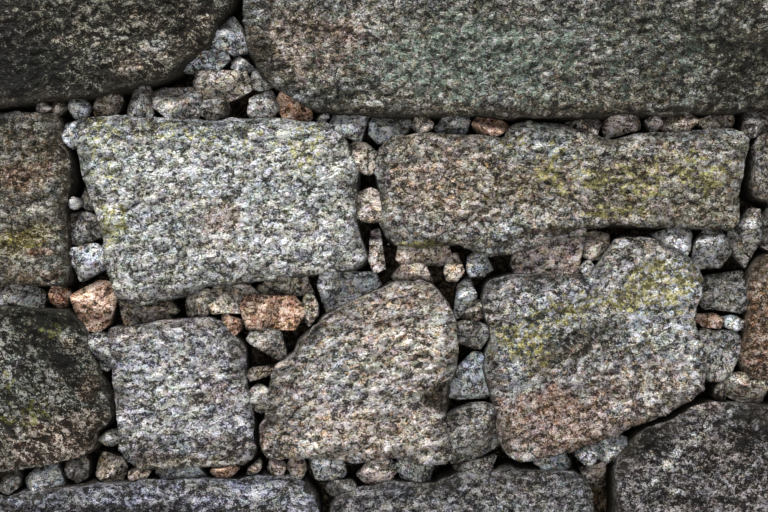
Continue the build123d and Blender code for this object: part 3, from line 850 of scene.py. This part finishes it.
# Each block's tone, relief, stretch and tilt of its grain, and ledges, and then its marks
block_looks = {
    "top_left_block": Look((62, 59, 44), 1.05, 1.4, 2, 0, [
        (-728, 1124, 220, 240, soot, 0.9), (-412, 1096, 120, 52, (120, 112, 98)),
        (-648, 1068, 380, 88, soot, 0.55), (-378, 1184, 100, 180, umber), (-708, 1248, 180, 72, mould),
        # The long umber band at (-548, 1058) is painted shade along this stone's lower edge
        (-678, 1124, 120, 80, moss), (-488, 1140, 160, 60, sand, 0.4, 10), (-548, 1058, 420, 44, umber, 0.6),
        (-468, 1214, 120, 52, (92, 80, 62), 0.4), (-728, 1176, 28, 20, ash, 0.7),
        (-484, 1152, 32, 24, ash, 0.7), (-448, 1172, 40, 24, ash, 0.6), (-528, 1192, 28, 20, ash, 0.6),
        (-648, 1184, 28, 20, sand), (-358, 1220, 32, 28, sand), (-576, 1148, 24, 20, ash),
        (-598, 1184, 100, 60, (108, 98, 80), 0.4),
    ]),
    "top_middle_block": Look((110, 109, 101), 1.1, 1.35, 0, 0, [
        (172, 1144, 660, 220, lichen, 0.75), (532, 1154, 400, 200, lichen),
        (-148, 1172, 300, 180, (136, 118, 104), 0.6), (-64, 1204, 120, 60, flesh, 0.35),
        (-244, 1144, 80, 120, (48, 46, 30), 0.7), (-108, 1074, 88, 50, (40, 42, 26), 0.6),
        (-118, 1208, 112, 44, (84, 66, 50)), (-18, 1220, 68, 60, chalk, 0.4),
        (632, 1164, 340, 260, (72, 70, 58), 0.45), (712, 1144, 180, 280, mould, 0.75),
        # The long umber band at (232, 1040) is painted shade along this stone's lower edge
        (42, 1076, 140, 68, (130, 122, 106), 0.45), (232, 1040, 1080, 32, umber, 0.6),
        (412, 1072, 400, 52, (128, 118, 98), 0.4), (512, 1224, 240, 80, (84, 84, 70)),
        (172, 1236, 320, 56, (96, 96, 84), 0.4), (352, 1144, 120, 60, (150, 142, 122), 0.3),
    ]),
    "top_right_block": Look((86, 80, 68), 1.1, 1.5, 0, 0),
    "upper_left_block": Look((98, 94, 83), 1.05, 1.3, -4, 0.001, [
        (-716, 984, 160, 88, (84, 72, 54), 0.4), (-652, 960, 60, 60, umber),
        (-728, 912, 120, 68, (128, 90, 60)), (-724, 784, 148, 64, olive, 0.65, 8),
        (-720, 784, 120, 60, lichen), (-698, 760, 68, 20, rust), (-688, 712, 140, 32, (116, 92, 66), 0.4),
        (-636, 864, 28, 300, umber), (-708, 844, 100, 32, (150, 142, 126), 0.35),
    ]),
    "upper_square_block": Look((162, 163, 160), 1, 1.35, 6, 0, [
        (-572, 992, 100, 120, lichen, 0.6), (-518, 1008, 120, 60, lichen), (-548, 808, 80, 120, lichen, 0.75),
        (-392, 996, 260, 60, lichen), (-338, 972, 100, 100, lichen, 0.4), (-244, 980, 180, 92, lichen),
        (-168, 960, 120, 140, lichen, 0.6), (-368, 844, 180, 100, lichen, 0.3), (-560, 894, 80, 160, lichen),
        (-188, 784, 220, 80, lichen, 0.3), (-324, 824, 100, 96, flesh, 0.6), (-312, 768, 140, 36, flesh),
        (-500, 908, 200, 100, (146, 148, 136), 0.65), (-508, 784, 180, 88, (144, 142, 132), 0.6),
        (-158, 814, 200, 140, chalk, 0.4), (-512, 664, 120, 40, sand, 0.4),
        (-168, 720, 220, 44, sand, 0.15, 10), (-124, 964, 120, 68, (136, 134, 124), 0.4),
        (-408, 944, 220, 52, chalk, 0.35, 4), (-268, 764, 260, 100, chalk, 0.5, 6),
        (-388, 874, 220, 100, chalk, 0.35), (-558, 704, 60, 80, (140, 138, 128)),
        (-368, 700, 160, 32, (140, 136, 124), 0.4),
    ]),
    "upper_long_block": Look((135, 135, 131), 1.1, 1.4, 1, 0.0035, [
        (132, 900, 380, 240, (152, 136, 118), 0.6), (512, 884, 560, 220, (134, 118, 90)),
        (256, 964, 100, 72, lichen, 0.7), (72, 772, 112, 28, lichen, 0.9), (362, 936, 180, 140, lichen, 0.55),
        (512, 904, 280, 80, lichen, 0.65), (632, 920, 200, 100, lichen, 0.65),
        (472, 838, 180, 44, lichen, 0.7), (412, 880, 140, 60, lichen), (232, 884, 120, 80, lichen, 0.4),
        (32, 980, 68, 44, (188, 170, 150), 0.4), (92, 920, 68, 52, slate, 0.3),
        (282, 968, 88, 40, chalk, 0.45), (488, 964, 140, 28, chalk, 0.6), (532, 948, 80, 44, umber, 0.4),
        # The long umber bands at (432, 800) and (172, 778) darken the lower edge: partly dirt, partly painted
        # shade
        (432, 800, 340, 32, umber, 0.8), (112, 872, 120, 100, sand, 0.4),
        (312, 904, 100, 120, (98, 90, 68), 0.4), (612, 788, 140, 36, olive, 0.4),
        (172, 778, 260, 32, umber, 0.6), (0, 904, 20, 200, umber, 0.3),
        (60, 908, 120, 100, (190, 170, 150), 0.45), (288, 912, 100, 60, (156, 142, 122), 0.4),
        (402, 980, 160, 40, (96, 90, 72), 0.4), (352, 972, 120, 24, chalk, 0.35),
        (672, 864, 140, 80, (122, 112, 88), 0.4),
    ]),
    "upper_right_block": Look((122, 111, 100), 1, 1.4, 0, 0, [
        (752, 944, 40, 120, chalk, 0.3),
    ]),
    "lower_left_block": Look((86, 85, 73), 1.15, 1.3, -24, 0.0015, [
        (-678, 632, 260, 60, (36, 38, 20), 0.95), (-644, 532, 240, 52, (36, 34, 26), 0.8, -52),
        (-658, 600, 100, 48, lichen, 0.6), (-688, 444, 100, 52, lichen, 0.6),
        (-756, 488, 40, 80, lichen, 0.6), (-736, 424, 80, 40, lichen, 0.6),
        (-668, 376, 280, 120, (128, 106, 88), 0.7, 12), (-708, 338, 180, 36, (138, 112, 94), 0.5, 8),
        (-584, 392, 80, 60, umber, 0.7), (-628, 580, 48, 24, sand, 0.6), (-744, 532, 48, 48, ash),
        (-592, 488, 60, 60, (128, 98, 70)), (-708, 564, 80, 40, moss),
    ]),
    "lower_square_block": Look((148, 147, 152), 1, 1.3, 10, 0, [
        (-516, 590, 92, 48, (172, 154, 140), 0.6), (-536, 504, 20, 220, (134, 118, 104), 0.2),
        (-388, 612, 140, 32, flesh, 0.4), (-468, 560, 140, 44, ash, 0.4), (-288, 380, 68, 56, umber, 0.6),
        (-338, 480, 100, 68, flesh, 0.35), (-408, 336, 280, 44, (122, 108, 92), 0.75),
        (-448, 588, 200, 52, chalk, 0.35), (-388, 404, 180, 88, (118, 110, 102), 0.35),
        (-432, 448, 180, 120, chalk, 0.4, 8), (-338, 364, 120, 60, (128, 118, 106)),
        (-498, 374, 80, 80, (126, 118, 108), 0.4), (-488, 508, 100, 56, chalk, 0.3),
        (-294, 564, 48, 120, (122, 112, 102), 0.6), (-408, 514, 120, 100, chalk, 0.3),
    ]),
    "lower_sloping_block": Look((164, 157, 150), 1.1, 1.5, 14, 0.0036, [
        (-212, 456, 128, 240, (120, 112, 106), 0.65), (-164, 560, 112, 104, (136, 130, 126), 0.45),
        # The dark mark at (116, 470) is painted shade in the hollow that it also cuts
        (116, 470, 92, 52, (70, 60, 50), 0.9, 28, 15), (136, 424, 24, 120, umber),
        (-36, 532, 56, 28, (112, 120, 72), 0.4), (36, 664, 160, 68, (186, 164, 148)),
        (36, 592, 180, 100, (204, 190, 176), 0.6), (-24, 400, 160, 72, (184, 164, 144), 0.4),
        (-244, 400, 40, 80, (176, 146, 128), 0.4), (-68, 424, 180, 80, (164, 142, 126), 0.4, 10),
        (-8, 604, 160, 48, (150, 124, 108), 0.4, 30), (-108, 664, 100, 28, (120, 104, 90), 0.4, -20),
        (32, 360, 220, 28, (120, 104, 90)),
    ]),
    "lower_deep_block": Look((165, 165, 164), 1.1, 1.2, 8, 0.001, [
        (292, 700, 192, 68, (100, 96, 94)), (536, 684, 232, 120, lichen, 0.8, 12),
        (436, 664, 132, 68, lichen, 0.6), (596, 724, 68, 68, lichen, 0.7), (356, 640, 160, 80, lichen, 0.65),
        (272, 574, 180, 112, lichen, 0.7), (512, 584, 140, 60, lichen, 0.4),
        (382, 600, 300, 152, (100, 98, 88), 0.55, 10), (372, 574, 140, 60, (84, 82, 76), 0.5, 14),
        (436, 614, 132, 68, (96, 94, 86)), (336, 552, 220, 36, (92, 88, 64), 0.5, 8),
        (444, 456, 480, 240, (142, 122, 110), 0.5, 8), (344, 412, 400, 168, (150, 116, 96), 0.6, 8),
        (322, 464, 132, 68, (136, 98, 78), 0.45), (500, 432, 180, 112, (164, 152, 144)),
        (220, 664, 48, 120, (100, 90, 82), 0.6), (352, 712, 160, 32, (84, 78, 70), 0.7),
        (220, 494, 40, 220, (96, 84, 72)), (276, 384, 80, 72, (108, 90, 76)),
        (552, 500, 180, 168, (158, 144, 132), 0.45), (444, 630, 32, 20, chalk, 0.9),
        (532, 472, 44, 40, chalk, 0.8), (472, 444, 48, 32, chalk, 0.6), (532, 596, 68, 28, chalk, 0.7),
        (576, 748, 40, 28, chalk, 0.7), (272, 744, 120, 40, (134, 130, 126), 0.4),
        (452, 384, 180, 40, (120, 100, 84), 0.5, 20), (512, 764, 80, 48, (146, 132, 112), 0.4),
    ]),
    "lower_right_block": Look((133, 115, 98), 1, 1.3, 0, 0, [
        (744, 574, 60, 160, (146, 104, 74), 0.35), (736, 732, 88, 52, umber, 0.6),
        (736, 516, 88, 52, umber, 0.6), (912, 664, 180, 120, (120, 108, 96)),
        (1032, 564, 160, 140, (150, 112, 82), 0.4),
    ]),
    "base_left_block": Look((112, 108, 106), 1, 1.5, 0, 0),
    "base_long_block": Look((135, 136, 149), 1, 1.4, 3, 0, [
        (-668, 272, 260, 32, (92, 102, 110)), (-168, 280, 92, 40, ash, 0.4),
        (-528, 244, 640, 32, (50, 46, 42), 0.8), (-688, 292, 180, 24, umber),
        (-268, 264, 120, 48, chalk, 0.3), (-348, 284, 160, 28, (140, 130, 124), 0.4),
    ]),
    "base_middle_block": Look((111, 108, 108), 1, 1.5, 0, 0, [
        (22, 280, 80, 28, (80, 86, 98)), (232, 284, 160, 32, (112, 102, 96), 0.4),
    ]),
    "base_right_block": Look((103, 96, 95), 1.15, 1.3, -8, 0.0015, [
        (512, 380, 132, 68, soot, 0.85), (642, 452, 100, 32, (142, 120, 106), 0.6, -10),
        (736, 420, 92, 132, (40, 38, 34), 0.7), (622, 384, 36, 28, chalk, 0.9, 40),
        (584, 360, 28, 20, chalk, 0.8), (568, 336, 32, 24, chalk, 0.85), (542, 300, 28, 24, chalk, 0.85),
        (584, 280, 32, 20, chalk, 0.8), (692, 444, 28, 20, chalk, 0.7), (644, 414, 24, 20, chalk, 0.7),
        (722, 324, 36, 20, ash, 0.7, 20), (532, 354, 20, 16, chalk, 0.8), (672, 384, 160, 48, umber, 0.5, 10),
        (672, 344, 120, 60, umber, 0.4), (632, 264, 200, 40, soot, 0.4),
    ]),
}

# The packing is rubble stained by earth
packing_look = Look((160, 140, 118), 1.5, 1, 0)

# How a slot's granite differs: dark, pale and warm shares, tone of lichen, tilt and stretch of the grain
finishes = {
    "top_left_granite": Finish(0.1, 0.02, 0.12, (96, 96, 50)),
    "top_middle_granite": Finish(0.02, -0.02, 0.08, (104, 118, 106)),
    "upper_left_granite": Finish(0.02, 0, 0.12, (142, 132, 66)),
    "upper_square_granite": Finish(0, 0.02, 0.05, (176, 172, 112), 8),
    "upper_long_granite": Finish(0.01, 0, 0.14, (160, 154, 96), 2),
    "lower_left_granite": Finish(0.09, 0.04, 0.14, (108, 108, 54), -20),
    "lower_square_granite": Finish(0.01, 0.02, 0.06, tilt=10),
    "lower_sloping_granite": Finish(0, 0.01, 0.18, tilt=14, stretch=1.25),
    "lower_deep_granite": Finish(0.01, 0.01, 0.16, (164, 156, 94), 8, 1.1),
    "lower_right_granite": Finish(0.02, 0, 0.25),
    "base_long_granite": Finish(0.02, 0.04, 0.03),
    "base_middle_granite": Finish(0.03, 0.01, 0.04),
    "base_right_granite": Finish(0.05, 0.05, 0.08),
    "pinning_granite": Finish(0, 0.02, 0.1),
    "packing_rubble": Finish(0.03, -0.05, 0.12, stretch=1),
}
plain_finish = Finish(stretch=1)

# Pinnings of the face: their tones, and where those of each tone lie (along, up)
dark, grey, pale, bluish = (114, 110, 104), (150, 146, 141), (204, 206, 208), (180, 188, 196)
tan, brown, orange, pink = (202, 189, 173), (174, 158, 144), (206, 164, 136), (198, 182, 173)
listed_pins = {
    dark: [(-748, 304), (-618, 308), (-610, 872), (-600, 808), (-342, 1050), (-240, 578), (-88, 288),
        (178, 390), (188, 342), (680, 484), (682, 668), (738, 1024)],
    grey: [(-732, 670), (-570, 564), (-554, 390), (-490, 1054), (-422, 1060), (-262, 1054), (-250, 468),
        (-244, 1060), (188, 588), (656, 768), (684, 550), (738, 804)],
    pale: [(-688, 306), (-634, 1004), (-626, 850), (-614, 1042), (-598, 732), (-368, 1140), (-306, 1174),
        (-128, 1034), (-118, 316), (-68, 1026), (-68, 690), (14, 1016), (68, 316), (138, 1018), (164, 696),
        (192, 740), (398, 728), (402, 362), (452, 378), (558, 792), (710, 640)],
    bluish: [(-404, 314), (164, 510), (338, 338)],
    tan: [(-688, 1050), (-558, 334), (-378, 660), (-308, 1094), (-304, 668), (-278, 324), (-200, 690),
        (-144, 640), (-42, 964), (76, 1012), (432, 778), (672, 1020), (748, 478)],
    brown: [(-564, 1052), (-498, 304), (-472, 634), (-248, 520), (-28, 858), (58, 724), (128, 732),
        (168, 644), (426, 324), (600, 1020)],
    orange: [(-652, 666), (-584, 654), (-322, 316), (-308, 618), (-218, 638), (-176, 1050), (220, 1012)],
    pink: [(-218, 328), (-174, 332), (-22, 316), (-12, 764), (312, 754), (402, 1018), (482, 1012),
        (546, 1018)],
}
reach_of_listed = 45
pin_relief, pin_grain_stretch, pin_grain_tilt = 0.5, 1.3, 30


def pin_look(solid, chance):
    """A pinning's look: the tone that is listed for its place, or one at random."""
    x, z = solid.outline.mean(0) * 1000
    tone = list(listed_pins)[chance.integers(len(listed_pins))]
    nearest = reach_of_listed
    for listed, places in listed_pins.items():
        for place in places:
            away = np.hypot(place[0] - x, place[1] - z)
            if away < nearest and solid.front < 0:
                nearest, tone = away, listed
    return Look(tone, pin_relief, pin_grain_stretch, chance.uniform(-pin_grain_tilt, pin_grain_tilt))


def looks_and_dressing(node, solids, seed):
    """How each stone of a node looks, and the dressing that they share."""
    if node in block_looks:
        look = block_looks[node]
        is_open = exposed(at_depth(solids[0].outline, 0)).any()
        looks = [look._replace(marks=[Mark(*mark) for mark in look.marks])]
        return looks, block_dressing if is_open else inner_block_dressing
    if "pinnings" in node:
        chance = np.random.default_rng(seed)
        looks = [pin_look(solid, chance) for solid in solids]
        return looks, pin_dressing if "front" in node else back_pin_dressing
    return [packing_look] * len(solids), packing_dressing


slots = {part["node"]: part["material_slot"] for part in frame["record"]["subparts"]}
grain = granite_group()
materials = {
    slot: granite(slot, grain, finishes.get(slot, plain_finish)) for slot in dict.fromkeys(slots.values())
}

for seed, node in enumerate(sorted(frame["nodes"])):
    solids = cad_solids(node)
    looks, dressing = looks_and_dressing(node, solids, seed)
    piece = dressed_piece(node, solids, looks, dressing, seed)
    piece.data.materials.append(materials[slots[node]])
    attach(piece, "root")
    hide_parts(node)


# Floor, light and camera

# The floor fades into the backdrop between two distances from the wall
floor_reach, floor_full, floor_end = 5, 1.6, 4.5
floor_grey, backdrop_grey, room_white = (0.6, 0.6, 0.59, 1), (0.86, 0.86, 0.85, 1), (1, 1, 1, 1)
room_strength = 0.3

# The camera looks straight at the face, this width of which fills the frame
sensor_width, camera_distance = 36, 2.6
shown_width, shown_height, face_depth = 1.536, 0.752, 0.012


def floor():
    corners = np.array([(-1, -1, 0), (1, -1, 0), (1, 1, 0), (-1, 1, 0)])
    piece = mesh_piece("floor", corners * floor_reach, [(0, 1, 2, 3)])
    material = bpy.data.materials.new("floor_grey")
    material.use_nodes = True
    n = Nodes(material.node_tree)
    place = n.add("ShaderNodeTexCoord").outputs["Object"]
    away = n.vectors("LENGTH", {0: place}, output="Value")
    shader = material.node_tree.nodes["Principled BSDF"]
    n.feed(shader.inputs["Base Color"], floor_grey)
    n.feed(shader.inputs["Roughness"], 0.9)
    n.feed(shader.inputs["Alpha"], n.eased(away, floor_end, floor_full))
    piece.data.materials.append(material)


def soft_light(name, place, aim, size, power):
    light = bpy.data.lights.new(name, "AREA")
    light.shape = "RECTANGLE"
    light.size, light.size_y = size
    light.energy = power
    lamp = in_scene(name, light)
    lamp.location = place
    lamp.rotation_euler = (Vector(aim) - Vector(place)).to_track_quat("-Z", "Y").to_euler()


def world():
    """Soft light from all round, and a pale backdrop that only the camera and glossy surfaces see."""
    made = bpy.data.worlds.new("studio")
    bpy.context.scene.world = made
    n = Nodes.only_in(made)
    rays = n.add("ShaderNodeLightPath").outputs
    mirrored = n.maths("MAXIMUM", rays["Is Glossy Ray"], rays["Is Transmission Ray"])
    seen = n.maths("MAXIMUM", rays["Is Camera Ray"], mirrored)
    room = n.add("ShaderNodeBackground", {"Color": room_white, "Strength": room_strength})
    backdrop = n.add("ShaderNodeBackground", {"Color": backdrop_grey, "Strength": 1})
    both = n.add("ShaderNodeMixShader", {0: seen, 1: room.outputs[0], 2: backdrop.outputs[0]})
    n.add("ShaderNodeOutputWorld", {"Surface": both.outputs[0]})


def camera():
    lens = bpy.data.cameras.new("camera")
    lens.sensor_width = sensor_width
    lens.lens = sensor_width * camera_distance / shown_width
    eye = in_scene("camera", lens)
    eye.location = (0, wall_low.y + face_depth - camera_distance, shown_height)
    eye.rotation_euler = (np.radians(90), 0, 0)
    bpy.context.scene.camera = eye


floor()
soft_light("sky_panel", place=(-1.0, -1.9, 4.4), aim=(0, -0.2, 0.55), size=(3.0, 1.6), power=330)
soft_light("left_panel", place=(-3.4, 0.3, 1.9), aim=(-1.0, 0, 0.6), size=(1.6, 1.6), power=55)
soft_light("right_panel", place=(3.4, 0.3, 1.9), aim=(1.0, 0, 0.6), size=(1.6, 1.6), power=55)
soft_light("back_panel", place=(0.8, 2.8, 3.0), aim=(0, 0.2, 0.7), size=(3.0, 2.0), power=90)
world()
camera()
bpy.context.scene.view_settings.view_transform = "Standard"

bpy.context.view_layer.update()
